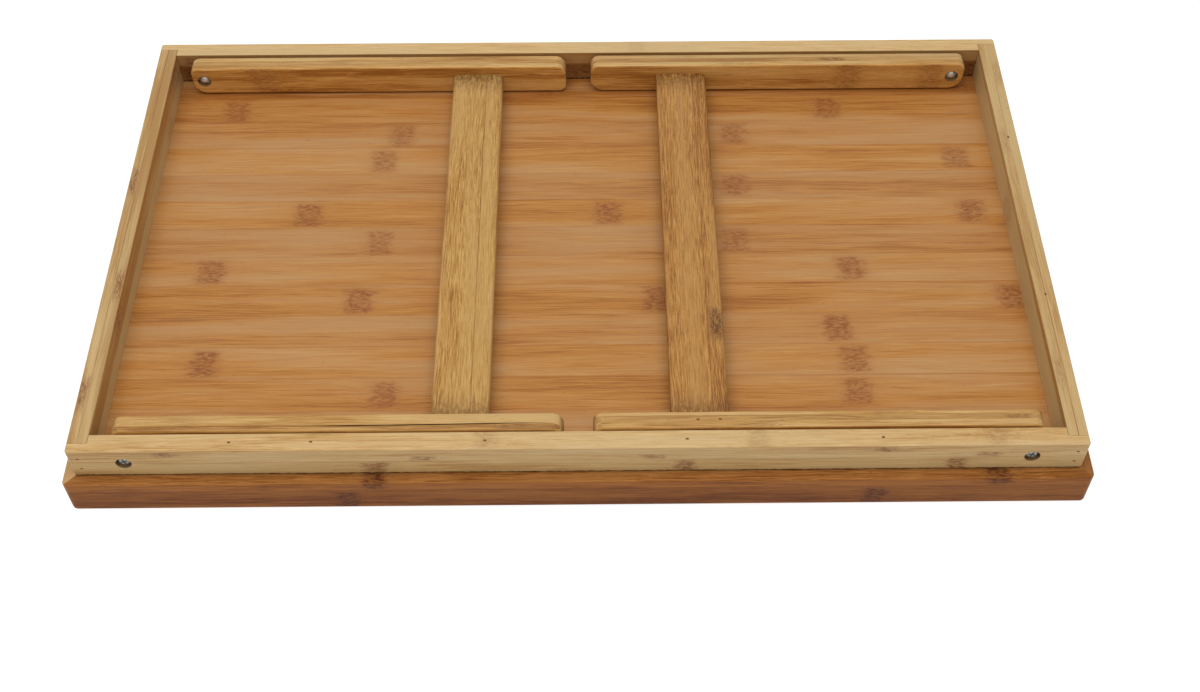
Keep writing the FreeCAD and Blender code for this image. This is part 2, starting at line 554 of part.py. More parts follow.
# ---------------------------------------------------------------- washers
# A thick spacer washer in the gap between the rail and the leg.
def pivot_washer(label, x, y, turn):
    washer = new_body(label)
    ring = new_sketch(washer, f"{label}_Outline", "XY_Plane")
    circle(ring, "0", "0", "Sizes.washer_diameter")
    circle(ring, "0", "0", BOLT_HOLE)
    pad(washer, f"{label}_Ring", ring, "(Sizes.leg_gap - 2 * Sizes.washer_play)")
    place(washer, x, y, PIVOT_Z, axis=V(1, 0, 0), turn=turn)


NUT_SEAT_Y = f"({LEG_INNER_Y} + Sizes.leg_bore_depth)"
WASHER_Y = f"({RAIL_INNER_Y} - Sizes.washer_play)"
for side_name, x in (("left", f"-{PIVOT_X}"), ("right", PIVOT_X)):
    for end, sign, turn in (("front", "-", -90), ("back", "", 90)):
        spot = f"{side_name}_{end}"
        pivot_bolt(f"pivot_bolt_{spot}", x, f"{sign}{SEAT_Y}", turn)
        pivot_nut(f"pivot_nut_{spot}", x, f"{sign}({NUT_SEAT_Y} - Sizes.washer_play)", turn)
        pivot_washer(f"pivot_washer_{spot}", x, f"{sign}{WASHER_Y}", turn)


# ---------------------------------------------------------------- brads
# Flat wire nails set a little below the wood: two through each corner lap, a row down through
# the apron into the rim, and two through each leg into the crossbar's tenon.
corner_brads = new_body("corner_brads")
corner_face = f"({APRON_WIDTH} / 2 - Sizes.brad_sink)"
for name, height, turned in (("Front", corner_face, True), ("Back", f"-{corner_face}", False)):
    nails = new_sketch(corner_brads, f"CornerBrads{name}Sketch", "XZ_Plane", height)
    for across in (f"-{RAIL_MIDDLE_X}", RAIL_MIDDLE_X):
        brad_section(nails, across, "(Sizes.rim_height + Sizes.corner_brad_margin)")
        brad_section(nails, across, f"({APRON_TOP} - Sizes.corner_brad_margin)")
    pad(corner_brads, f"CornerBrads{name}", nails, "Sizes.corner_brad_length", turned=turned)

apron_brads = new_body("apron_brads")
nails = new_sketch(apron_brads, "ApronBradsSketch", "XY_Plane", BRAD_TOP)
for along in FRONT_BRADS:
    brad_section(nails, along, f"-{RAIL_MIDDLE_Y}")
for along in RIGHT_BRADS:
    brad_section(nails, RAIL_MIDDLE_X, along, upright=True)
pad(apron_brads, "ApronBrads", nails, "Sizes.apron_brad_length", turned=True)

for frame, side, foot_outer, foot_inner, bar_reach, brad_pitch in FRAMES:
    brads = new_body(f"{frame}_crossbar_brads")
    nails = new_sketch(brads, f"{frame}_BradsSketch", "XY_Plane",
                       "(Sizes.leg_depth / 2 - Sizes.brad_sink)")
    towards_foot = f"({bar_reach} - Sizes.bar_brad_offset)"
    for way in ("-", "+"):
        for across in (f"-{LEG_MIDDLE_Y}", LEG_MIDDLE_Y):
            along = f"({towards_foot} {way} {brad_pitch} / 2)"
            brad_section(nails, along, across)
    pad(brads, f"{frame}_Brads", nails, "Sizes.bar_brad_length", turned=True)
    place(brads, f"-{PIVOT_X}" if side == LEFT else PIVOT_X, "0", PIVOT_Z,
          turn=0 if side == LEFT else 180)

# ---------------------------------------------------------------- checks and export
doc.recompute()
for item in doc.Objects:
    if any(word in state for state in item.State for word in ("Invalid", "Error")):
        raise RuntimeError(f"{item.Name} is {item.State}")
bodies = [item for item in doc.Objects if item.TypeId == "PartDesign::Body"]
for body in bodies:
    if body.Shape.isNull() or not body.Shape.isValid():
        raise RuntimeError(f"{body.Label} has no sound shape")

os.makedirs("parts", exist_ok=True)
for body in bodies:
    body.Shape.exportStep(os.path.join("parts", f"{body.Label}.step"))
    print(f"{body.Label}: {len(body.Shape.Solids)} solid, {body.Shape.Volume:.1f} mm3")
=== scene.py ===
import math

import bmesh
import bpy
from mathutils import Matrix, Vector


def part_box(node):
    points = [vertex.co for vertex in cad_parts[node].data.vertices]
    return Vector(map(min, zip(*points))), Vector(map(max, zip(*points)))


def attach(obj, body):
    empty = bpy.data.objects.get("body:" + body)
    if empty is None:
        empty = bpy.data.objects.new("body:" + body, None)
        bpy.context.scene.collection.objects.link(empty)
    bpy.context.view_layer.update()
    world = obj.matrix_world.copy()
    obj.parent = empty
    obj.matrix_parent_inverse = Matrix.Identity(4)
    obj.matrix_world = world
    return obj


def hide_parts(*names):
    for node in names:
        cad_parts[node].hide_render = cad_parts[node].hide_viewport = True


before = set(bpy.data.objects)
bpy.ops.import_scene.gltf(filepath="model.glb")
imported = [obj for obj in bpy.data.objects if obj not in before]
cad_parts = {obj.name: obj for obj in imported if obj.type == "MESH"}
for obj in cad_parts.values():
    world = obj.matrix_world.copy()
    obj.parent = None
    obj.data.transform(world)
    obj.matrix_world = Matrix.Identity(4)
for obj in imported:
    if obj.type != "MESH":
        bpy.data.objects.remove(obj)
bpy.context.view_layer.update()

MM = 0.001


# ---------------------------------------------------------------- tray panel
# The panel is pressed from flat bamboo strips about 20 mm wide that run along the tray.  Each
# strip keeps the dark nodes of its cane.  It is oiled and lacquered to a satin caramel colour.
class Socket:
    """A socket of a node.  Arithmetic on it adds Math nodes."""

    def __init__(self, nodes, socket):
        self.nodes, self.socket = nodes, socket

    def maths(self, operation, other=0.0):
        return self.nodes.maths(operation, self, other)

    def __add__(self, other):
        return self.maths("ADD", other)

    def __sub__(self, other):
        return self.maths("SUBTRACT", other)

    def __rsub__(self, other):
        return self.nodes.maths("SUBTRACT", other, self)

    def __mul__(self, other):
        return self.maths("MULTIPLY", other)

    def __truediv__(self, other):
        return self.maths("DIVIDE", other)

    def __rtruediv__(self, other):
        return self.nodes.maths("DIVIDE", other, self)

    def __abs__(self):
        return self.maths("ABSOLUTE")

    __radd__, __rmul__ = __add__, __mul__


class Outputs:
    """The outputs of a node, by name or by number."""

    def __init__(self, nodes, node):
        self.nodes, self.node = nodes, node

    def __getitem__(self, key):
        return Socket(self.nodes, Nodes.find(self.node.outputs, key))


class Nodes:
    """A node tree under construction."""

    def __init__(self, tree):
        self.tree = tree
        tree.nodes.clear()

    def node(self, kind, values=(), stops=(), **settings):
        """Adds a node: its settings and stops first, then its sockets' values or links."""
        node = self.tree.nodes.new(kind if "Node" in kind else f"ShaderNode{kind}")
        for name, setting in settings.items():
            setattr(node, name, setting)
        if stops:
            ramp = node.color_ramp
            ramp.interpolation = "CONSTANT"
            while len(ramp.elements) < len(stops):
                ramp.elements.new(1)
            for element, (position, held) in zip(ramp.elements, stops):
                element.position, element.color = position, held
        for key, value in dict(values).items():
            socket = self.find(node.inputs, key)
            if isinstance(value, Socket):
                self.tree.links.new(value.socket, socket)
            else:
                socket.default_value = value
        return Outputs(self, node)

    def maths(self, operation, first, second):
        return self.node("Math", {0: first, 1: second}, operation=operation)[0]

    @staticmethod
    def find(sockets, key):
        if isinstance(key, int):
            return sockets[key]
        return next(s for s in sockets if s.enabled and key in (s.name, s.identifier))


class Finish(Nodes):
    """A material under construction."""

    def __init__(self, name):
        self.material = bpy.data.materials.new(name)
        self.material.use_nodes = True
        super().__init__(self.material.node_tree)

    def fibres(self, along, across, through, size, detail=3, roughness=0.6):
        """Noise drawn out along the grain.  Size is the length and width of its spots in mm."""
        length, width = size
        place = self.node("CombineXYZ", {"X": along / length, "Y": across / width,
                                         "Z": through / width})["Vector"]
        return self.node("TexNoise", {"Vector": place, "Scale": 1.0, "Detail": detail,
                                      "Roughness": roughness})[0]

    def blend(self, factor, first, second, mode="MIX"):
        values = {"Factor": factor, "A": first, "B": second}
        return self.node("Mix", values, data_type="RGBA", blend_type=mode)["Result"]

    def ease(self, value, low, high):
        """A soft step from 0 at low to 1 at high."""
        values = {"Value": value, "From Min": low, "From Max": high}
        return self.node("MapRange", values, interpolation_type="SMOOTHSTEP")["Result"]

    def held(self, row, stops):
        """The four numbers that a constant ramp holds at a row."""
        ramp = self.node("ValToRGB", {0: row}, stops=stops)
        parts = self.node("SeparateColor", {0: ramp[0]})
        return parts[0], parts[1], parts[2], ramp["Alpha"]

    def surface(self, values, height, depth, strength):
        """Ends the finish in one principled shader, with a bump of the given depth in metres."""
        bump = self.node("Bump", {"Height": height, "Distance": depth, "Strength": strength})
        shader = self.node("BsdfPrincipled", {**values, "Normal": bump["Normal"]})["BSDF"]
        self.node("OutputMaterial", {"Surface": shader})
        return self.material


class Wood(Finish):
    """A wooden finish.  Its fibres lie along the grain's axis and its strips side by side across
    the other.  Top is the axis and shift that the strips of the upper faces are counted on."""

    def __init__(self, name, grain, across, top):
        super().__init__(name)
        given = self.node("TexCoord")
        metres = self.node("SeparateXYZ", {"Vector": given["Object"]})
        normal = self.node("SeparateXYZ", {"Vector": given["Normal"]})
        self.place = {axis: metres[axis] * (1 / MM) for axis in "XYZ"}
        self.normal = {axis: normal[axis] for axis in "XYZ"}
        self.lean = {axis: abs(normal[axis]) for axis in "XYZ"}
        self.along, self.side = self.place[grain], self.place[across]
        self.through = self.place[({"X", "Y", "Z"} - {grain, across}).pop()]
        if top:
            axis, shift = top
            upper = self.lean["Z"].maths("GREATER_THAN", 0.7)
            self.side = self.side + upper * (self.place[axis] + shift - self.side)


def colour(red, green, blue):
    """A colour as paint charts give it, 0 to 255, for a shader."""
    return tuple((c / 255 / 12.92) if c < 10 else ((c / 255 + 0.055) / 1.055) ** 2.4
                 for c in (red, green, blue)) + (1.0,)


WIDEST_STRIP, FURTHEST_NODE, NO_NODE = 100, 1000, 900


def strip_stops(strips, far):
    """Ramp stops with each strip's tone, tint, start and width, and with its nodes' places and
    darkness.  A ramp holds colours, so the places and widths in mm are turned into shares."""
    first = strips[0][0]
    edges = [strip[0] for strip in strips] + [far]
    looks, canes = [], []
    for start, stop, (_, tone, tint, dark, *places) in zip(edges, edges[1:], strips):
        at = (start - first) / (far - first)
        places = (places + [NO_NODE] * 3)[:3]
        looks.append((at, (0.5 + tone, 0.5 + tint, at, (stop - start) / WIDEST_STRIP)))
        canes.append((at, [(place + FURTHEST_NODE) / (2 * FURTHEST_NODE)
                           for place in places] + [dark]))
    return looks, canes


# The length and width in mm of the spots that bamboo's markings are made of.
RAGGED, SWAY, SWIRL, CLOUDS, BANDS = (7, 2.6), (80, 12), (9, 4.5), (110, 9), (60, 1.5)
FLECKS, SPECKS, FIBRE_WIDE, HAIR_WIDE, VESSEL_WIDE = (3.4, 0.9), (2.2, 0.9), 0.5, 0.33, 0.6
STRIP_APART, END_SHORTENED, SATIN = 7919, 9, 0.42


def bamboo(name, grain, across, strips, palette, top=None, streaky=1.0, cloudy=1.0, gloss=0.22,
           glue=(0.3, 0.32), fibre_long=30, node_long=10.5, stains_and_shade=()):
    """Laminated bamboo.  Strips are (start in mm, tone, tint, darkness of its nodes, places of up
    to three nodes in mm) and end with the last one's far side.  The palette is dark, middle,
    light, tint and mark.  Glue is the share and width in mm of the lines between strips, and
    node_long a node's reach along the grain in mm.  The last layers, soiling, tints and
    painted shade, are put on in their order."""
    dark, middle, light, tint, mark = (colour(*c) for c in palette)
    wood = Wood(name, grain, across, top)
    along, side, through, lean = wood.along, wood.side, wood.through, wood.lean

    *strips, far = strips
    first, reach = strips[0][0], far - strips[0][0]
    looks, canes = strip_stops(strips, far)
    from_first = side - first
    own_tone, own_tint, start, width = wood.held(from_first / reach, looks)
    *nodes, marks = wood.held(from_first / reach, canes)
    width, from_edge = width * WIDEST_STRIP, from_first - start * reach
    from_edge = from_edge.maths("MINIMUM", width - from_edge)
    run = along + start * STRIP_APART

    ragged = along + (wood.fibres(run, side, through, RAGGED) - 0.5) * 11
    gaps = [abs(ragged - (node * (2 * FURTHEST_NODE) - FURTHEST_NODE)) for node in nodes]
    from_node = gaps[0].maths("MINIMUM", gaps[1]).maths("MINIMUM", gaps[2])
    near = wood.ease(from_node, 22, 3)
    core = (wood.ease(from_node, node_long, node_long * 0.3)
            * wood.ease(from_edge / width, 0.0, 0.2) * marks)

    sway = wood.fibres(run, side, through, SWAY, detail=2) - 0.5
    swirl = wood.fibres(run, side, through, SWIRL, detail=2) - 0.5
    wavy = side + sway * 5 + swirl * near * 4
    clouds = wood.fibres(run, wavy, through, CLOUDS, detail=2, roughness=0.45)
    bands = wood.fibres(run, wavy, through, BANDS, roughness=0.65)
    fine = wood.fibres(run, wavy, through, (fibre_long, FIBRE_WIDE), roughness=0.75)
    hair = wood.fibres(run, wavy, through, (fibre_long / 3, HAIR_WIDE), detail=2)
    flecks = wood.ease(wood.fibres(run, wavy, through, FLECKS), 0.4, 0.62)

    tone = (own_tone + (clouds - 0.5) * (1.4 * cloudy) + (bands - 0.5) * (0.55 * streaky)
            + (fine - 0.5) * (2.25 * streaky))
    shade = wood.blend(wood.ease(tone, 0.0, 0.55), dark, middle)
    shade = wood.blend(wood.ease(tone, 0.5, 1.0), shade, light)
    shade = wood.blend((own_tint - 0.5) + wood.ease(clouds, 0.32, 0.72) * 0.5, shade, tint)
    pores = wood.ease(hair, 0.56, 0.72) * wood.ease(bands, 0.62, 0.4)
    shade = wood.blend(pores * (0.3 * streaky), shade, mark)
    shade = wood.blend(near * wood.ease(fine, 0.5, 0.62) * marks * 0.3, shade, mark)
    shade = wood.blend(core * (1 - flecks) * 0.3, shade, light)
    shade = wood.blend(core * (flecks * 0.45 + 0.4), shade, mark)
    joint = wood.ease(from_edge, glue[1], 0.05) * wood.ease(bands, 0.38, 0.55)
    shade = wood.blend(joint * glue[0], shade, mark)
    specks = wood.ease(wood.fibres(along, side, through, SPECKS, detail=1), 0.74, 0.8)
    shade = wood.blend(specks * 0.6, shade, mark)
    # Rounded edges are paler: sanding wear, and partly a painted highlight.
    flattest = lean["X"].maths("MAXIMUM", lean["Y"]).maths("MAXIMUM", lean["Z"])
    edge_wear_and_highlight = wood.ease(1 - flattest, 0.03, 0.2) * wood.ease(clouds, 0.35, 0.6)
    shade = wood.blend(edge_wear_and_highlight * 0.3, shade, light)
    vessels = wood.fibres(along / END_SHORTENED, side, through, (1, VESSEL_WIDE), detail=2)
    cut = wood.ease(lean[grain], 0.6, 0.95)
    shade = wood.blend(cut * (wood.ease(vessels, 0.42, 0.6) * 0.45 + 0.25), shade, mark)
    for overlay in stains_and_shade:
        shade = overlay(wood, shade)
    rough = SATIN + (fine - 0.5) * 0.3 + pores * 0.1 + cut * 0.2 + edge_wear_and_highlight * 0.08
    height = fine * 0.5 + hair * 0.35 - pores * 0.5 - core * flecks * 0.35
    return wood.surface({"Base Color": shade, "Roughness": rough, "Specular IOR Level": gloss,
                         "Coat Weight": 0.04, "Coat Roughness": 0.3},
                        height, depth=0.12 * MM, strength=0.35)


def refinish(node, finish):
    """Gives a CAD node's own mesh its finish."""
    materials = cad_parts[node].data.materials
    materials.clear()
    materials.append(finish)


PANEL_STRIPS = (
    (-142.8, 0.04, 0.0, 0.7, -20, 250), (-127.8, -0.05, 0.1, 0.7, -60, 180),
    (-107.3, 0.0, -0.1, 0.9, -97.6, 141), (-86.8, 0.08, 0.0, 1.0, -191.4, 141),
    (-66.3, 0.02, 0.1, 1.0, 135), (-45.8, -0.05, -0.1, 1.0, -116, 41, 228.6),
    (-25.3, 0.06, 0.05, 1.0, -196.4, 145.8), (-4.8, -0.04, 0.1, 0.8, -108.4, 85),
    (15.8, 0.03, -0.1, 1.0, -148.6, 16.6, 216.5), (36.3, -0.02, 0.15, 0.8, 87.7),
    (56.8, 0.08, -0.05, 0.8, -110.6, 214), (77.3, 0.0, 0.05, 0.8, -101.3, 88.8),
    # The last strip, from 118.3 mm, is darker: painted shadow of the back rail on the panel.
    (97.8, -0.06, -0.1, 0.9, -198.4, 144.7), (118.3, -0.32, -0.1, 0.6, -20, 225), 142.8,
)
CARAMEL = ((150, 91, 38), (186, 128, 63), (204, 155, 91), (178, 137, 96), (136, 74, 36))
refinish("tabletop_panel", bamboo("caramel_bamboo", "X", "Y", PANEL_STRIPS, CARAMEL,
                                  streaky=0.75, cloudy=0.75))


# ---------------------------------------------------------------- rim bars
# Four bars of darker, steamed bamboo are mitred around the panel and rounded over.  The panel's
# tongue is glued on a ledge inside them.  The left bar was cut from a paler length.
HALF_LONG, HALF_WIDE = 250 * MM, 150 * MM
RIM_WIDE, RIM_HIGH = 12 * MM, 21.8 * MM
RIM_CORNER, LIP_ROUND, MOUTH_ROUND = 3 * MM, 0.7 * MM, 1.8 * MM
LEDGE_WIDE, LEDGE_Z = 5 * MM, 17.8 * MM
ROUND_STEPS, LIP_STEPS = 6, 5


def arc(centre, radius, start, stop, steps):
    """Points on an arc, both ends included.  Angles are in degrees."""
    turns = [math.radians(start + (stop - start) * k / steps) for k in range(steps + 1)]
    return [(centre[0] + radius * math.cos(turn), centre[1] + radius * math.sin(turn))
            for turn in turns]


def skin(shape, rings):
    """Faces from each closed row of vertices to the next.  A row of one vertex is a pole."""
    for one, two in zip(rings, rings[1:]):
        steps = max(len(one), len(two))
        for k in range(steps):
            n = (k + 1) % steps
            corners = (one[k % len(one)], one[n % len(one)], two[n % len(two)],
                       two[k % len(two)])
            shape.faces.new(list(dict.fromkeys(corners)))


def as_mesh(name, shape):
    """Ends a bmesh in a mesh."""
    mesh = bpy.data.meshes.new(name)
    shape.to_mesh(mesh)
    shape.free()
    return mesh


def add_object(name, data):
    made = bpy.data.objects.new(name, data)
    bpy.context.scene.collection.objects.link(made)
    return made


def evaluated(made):
    """The mesh that an object's modifiers make."""
    graph = bpy.context.evaluated_depsgraph_get()
    return bpy.data.meshes.new_from_object(made.evaluated_get(graph))


def round_off(mesh, angle):
    """Shades a mesh smooth, but for edges that are sharper than an angle in degrees."""
    mesh.shade_smooth()
    mesh.set_sharp_from_angle(angle=math.radians(angle))


def settle(made, body, nodes):
    """Makes an object a plain mesh that rides on a body and stands for CAD nodes."""
    made.data = evaluated(made)
    made.modifiers.clear()
    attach(made, body)
    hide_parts(*nodes)


def piece(name, shape, body, slot, finish, *nodes):
    """Makes the finished object of a bmesh and lets it stand for CAD nodes."""
    bmesh.ops.remove_doubles(shape, verts=shape.verts, dist=1e-7)
    bmesh.ops.dissolve_degenerate(shape, edges=shape.edges, dist=1e-7)
    bmesh.ops.recalc_face_normals(shape, faces=shape.faces)
    mesh = as_mesh(name, shape)
    mesh.materials.append(finish)
    round_off(mesh, 38)
    made = add_object(name, mesh)
    made.modifiers.new("flat_faces", "WEIGHTED_NORMAL").keep_sharp = True
    settle(made, body, nodes)


def rim_bar(half, to_frame):
    """One mitred bar, swept along its side of the tray.  Half is half its outside length."""
    top, low = RIM_HIGH - LIP_ROUND, MOUTH_ROUND
    section = [(0.0, low), (0.0, top)]
    section += arc((LIP_ROUND, top), LIP_ROUND, 180, 90, LIP_STEPS)[1:]
    section += [(RIM_CORNER, RIM_HIGH), (RIM_WIDE - LEDGE_WIDE, RIM_HIGH),
                (RIM_WIDE - LEDGE_WIDE, LEDGE_Z), (RIM_WIDE, LEDGE_Z), (RIM_WIDE, low)]
    section += arc((RIM_WIDE - low, low), low, 0, -90, ROUND_STEPS)[1:]
    section += [(RIM_CORNER, 0.0)]
    section += arc((low, low), low, 270, 180, ROUND_STEPS)[:-1]
    shape = bmesh.new()
    rows = []
    turns = [45 + 45 * k / ROUND_STEPS for k in range(ROUND_STEPS + 1)]
    for way, angles in ((-1, turns), (1, turns[::-1])):
        for angle in map(math.radians, angles):
            row = []
            for inset, z in section:
                bend = max(RIM_CORNER - inset, 0.0)
                s = half - max(RIM_CORNER, inset) + bend * math.cos(angle)
                d = max(RIM_CORNER, inset) - bend * math.sin(angle)
                row.append(shape.verts.new(to_frame(way * s, d, z)))
            rows.append(row)
    skin(shape, rows)
    shape.faces.new(rows[0])
    shape.faces.new(rows[-1])
    return shape


def face_tint_and_shade(axis, overlay, facing=None):
    """A tint multiplied on the faces across an axis, or on one side's with facing, which is 1 or -1.
    It paints light and shade by the way a face turns, with some of the wood's own tint.
    """
    def brush(wood, shade):
        turned = wood.normal[axis] * facing if facing else wood.lean[axis]
        return wood.blend(wood.ease(turned, 0.35, 0.9), shade, (*overlay, 1), mode="MULTIPLY")
    return brush


STEAMED = ((106, 58, 20), (146, 92, 42), (176, 119, 62), (140, 95, 54), (74, 34, 20))
PALE_RIM = ((160, 112, 62), (196, 150, 94), (214, 174, 118), (184, 150, 104), (120, 72, 40))
# Painted shade: the rims' upright faces are multiplied darker and redder than their lip.
RIM_FACE_SHADE = (0.95, 0.82, 0.6)
steamed_x = bamboo("steamed_bamboo_long", "X", "Z", (
    (-3, -0.02, 0.0, 1.0, -113.9, 144.5), (16, 0.22, -0.1, 1.0, -98.5, 204.5), 26), STEAMED,
    streaky=1.5, cloudy=1.3, gloss=0.08, node_long=8, stains_and_shade=[face_tint_and_shade("Y", RIM_FACE_SHADE)])
steamed_y = bamboo("steamed_bamboo_short", "Y", "Z", (
    (-3, 0.0, 0.0, 0.8, 30), (16, 0.1, 0.0, 0.8, 90, -70), 26), STEAMED,
    streaky=1.4, gloss=0.08, stains_and_shade=[face_tint_and_shade("X", RIM_FACE_SHADE)])
pale_rim = bamboo("pale_rim_bamboo", "Y", "Z", (
    (-3, 0.0, 0.0, 0.8, 40), (10.8, 0.05, 0.1, 0.8, -60), 26), PALE_RIM)
for side, half, finish, to_frame in (
        ("front", HALF_LONG, steamed_x, lambda s, d, z: (s, d - HALF_WIDE, z)),
        ("back", HALF_LONG, steamed_x, lambda s, d, z: (-s, HALF_WIDE - d, z)),
        ("right", HALF_WIDE, steamed_y, lambda s, d, z: (HALF_LONG - d, s, z)),
        ("left", HALF_WIDE, pale_rim, lambda s, d, z: (d - HALF_LONG, -s, z))):
    piece(f"rim_bar_{side}", rim_bar(half, to_frame), "tray", "rim_bamboo", finish,
          f"rim_{side}")


# ---------------------------------------------------------------- apron rails
# Rails of pale bamboo, two strips thick, stand on the panel.  The long rails are halved over the
# ends of the short ones, glued and nailed.  Their free edges are sanded round.
RAIL_THICK, LAP_PLAY = 10 * MM, 0.1 * MM
RAIL_EASE, CORNER_EASE, FOOT_EASE, INNER_EASE = 0.9 * MM, 1.4 * MM, 1 * MM, 0.35 * MM
front_low, front_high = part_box("apron_front")
RAIL_LOW, RAIL_TOP, RAIL_OUT_X = front_low.z, front_high.z, front_high.x
RAIL_OUT_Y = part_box("apron_back")[1].y
CLOSE = 0.01 * MM
OUTER_Y, INNER_Y = RAIL_OUT_Y - 3 * MM, RAIL_OUT_Y - RAIL_THICK + CLOSE
BOLT_X, BOLT_Z = 218.2 * MM, 32.25 * MM
# Radius and depth in mm of the holes for the bolts' heads and shanks, from the outer face in.
RAIL_MOUTH = 3.85
HEAD_HOLE = ((RAIL_MOUTH, -1), (RAIL_MOUTH, 0), (3.7, 0.15), (3.7, 3))
RAIL_HOLE = ((2.2, 2.9), (2.2, 12))
BRAD_WIDE, BRAD_THICK, BRAD_DEEP, PIT_DEEP = 1.5 * MM, 1.1 * MM, 0.2 * MM, 0.4 * MM
# Half the sizes of the cutters for the pits over the brads, by where the pits are.
PITS = {"face": Vector((BRAD_WIDE / 2, PIT_DEEP, BRAD_THICK / 2)),
        "long edge": Vector((BRAD_WIDE / 2, BRAD_THICK / 2, PIT_DEEP)),
        "end edge": Vector((BRAD_THICK / 2, BRAD_WIDE / 2, PIT_DEEP))}


def prism(outline, low, high, place):
    """A closed solid from an outline in two axes, drawn from low to high along the third."""
    shape = bmesh.new()
    bottom = [shape.verts.new(place(a, b, low)) for a, b in outline]
    top = [shape.verts.new(place(a, b, high)) for a, b in outline]
    shape.faces.new(bottom)
    shape.faces.new(top[::-1])
    skin(shape, (top, bottom))
    bmesh.ops.recalc_face_normals(shape, faces=shape.faces)
    return shape


def block(low, high):
    outline = [(low[0], low[1]), (high[0], low[1]), (high[0], high[1]), (low[0], high[1])]
    return prism(outline, low[2], high[2], lambda a, b, c: (a, b, c))


def ease_edges(shape, radius, chosen, steps=3):
    """Rounds the edges whose two ends pass the test."""
    edges = [e for e in shape.edges if chosen(e.verts[0].co, e.verts[1].co)]
    bmesh.ops.bevel(shape, geom=edges, offset=radius, offset_type="OFFSET", segments=steps,
                    profile=0.5, affect="EDGES", clamp_overlap=True)


def on_top(p, q):
    return min(p.z, q.z) > RAIL_TOP - CLOSE


def on_foot(p, q):
    return max(p.z, q.z) < RAIL_LOW + CLOSE


def furthest_y(p, q):
    return max(abs(p.y), abs(q.y))


def drill(shape, cutters):
    """Cuts the cutters' solids out of a shape."""
    tools = bmesh.new()
    for cutter in cutters:
        held = as_mesh("cutter", cutter)
        tools.from_mesh(held)
        bpy.data.meshes.remove(held)
    blank, tool = (add_object("blank", as_mesh("blank", solid)) for solid in (shape, tools))
    cut = blank.modifiers.new("cut", "BOOLEAN")
    cut.operation, cut.solver, cut.object = "DIFFERENCE", "EXACT", tool
    result = evaluated(blank)
    drilled = bmesh.new()
    drilled.from_mesh(result)
    bpy.data.meshes.remove(result)
    for made in (blank, tool):
        mesh = made.data
        bpy.data.objects.remove(made)
        bpy.data.meshes.remove(mesh)
    return drilled


def ring(shape, radius, place, steps):
    """A closed row of vertices around an axis.  Place turns two lengths into a point."""
    turns = [2 * math.pi * k / steps for k in range(steps)]
    return [shape.verts.new(place(radius * math.cos(turn), radius * math.sin(turn)))
            for turn in turns]


def hole(stations, x, y, into, steps=48):
    """A cutter on a bolt's axis, from (radius, depth) in mm.  Depth counts from y, into the wood."""
    shape = bmesh.new()
    rings = [ring(shape, radius * MM,
                  lambda a, b: (x + a, y + into * depth * MM, BOLT_Z + b), steps)
             for radius, depth in stations]
    skin(shape, rings)
    shape.faces.new(rings[0])
    shape.faces.new(rings[-1])
    bmesh.ops.recalc_face_normals(shape, faces=shape.faces)
    return shape


def pit(x, y, z, where):
    """The hole that a set brad leaves, with its mouth at x, y, z."""
    centre = Vector((x, y, z))
    return block(centre - PITS[where], centre + PITS[where])


def grime_and_crevice_shade(axis, start, full, share):
    """Dark colour on an axis, from where it starts to where it is full, in mm from the middle:
    soiling at the crossbars' ends, and painted shade in the crevice along the rails' feet.
    """
    def darken(wood, shade):
        soil_and_shade = wood.ease(wood.fibres(wood.along, wood.side, wood.through, (3, 1.4)), 0.4, 0.58)
        soil_and_shade = wood.ease(abs(wood.place[axis]), start, full) * (soil_and_shade * 0.6 + 0.4)
        return wood.blend(soil_and_shade * share, shade, colour(58, 32, 15))
    return darken


def bore_shade(radius):
    """Painted shade: darker walls in the bolts' holes, out to a radius in mm."""
    def darken_bore(wood, shade):
        off_x, off_z = abs(wood.place["X"]) - BOLT_X / MM, wood.place["Z"] - BOLT_Z / MM
        inside = (off_x * off_x + off_z * off_z).maths("LESS_THAN", radius * radius)
        return wood.blend(inside * 0.75, shade, colour(70, 38, 18))
    return darken_bore


FRONT_BRADS = [x * MM for x in (-166.7, -127.6, -44.6, 52, 145.7)]
RIGHT_BRADS = [y * MM for y in (-51.3, 62.4)]
CORNER_BRAD_X, CORNER_BRAD_IN = RAIL_OUT_X - RAIL_THICK / 2, 6.2 * MM
CORNER_BRADS = [(x, z) for x in (-CORNER_BRAD_X, CORNER_BRAD_X)
                for z in (RAIL_LOW + CORNER_BRAD_IN, RAIL_TOP - CORNER_BRAD_IN)]
RAIL_MIDDLE_Y = RAIL_OUT_Y - RAIL_THICK / 2

PALE = ((168, 122, 66), (205, 166, 108), (225, 191, 138), (192, 164, 114), (126, 74, 38))
# Painted shade on the back rail's inner face.
BACK_INNER_SHADE = (0.64, 0.52, 0.4)
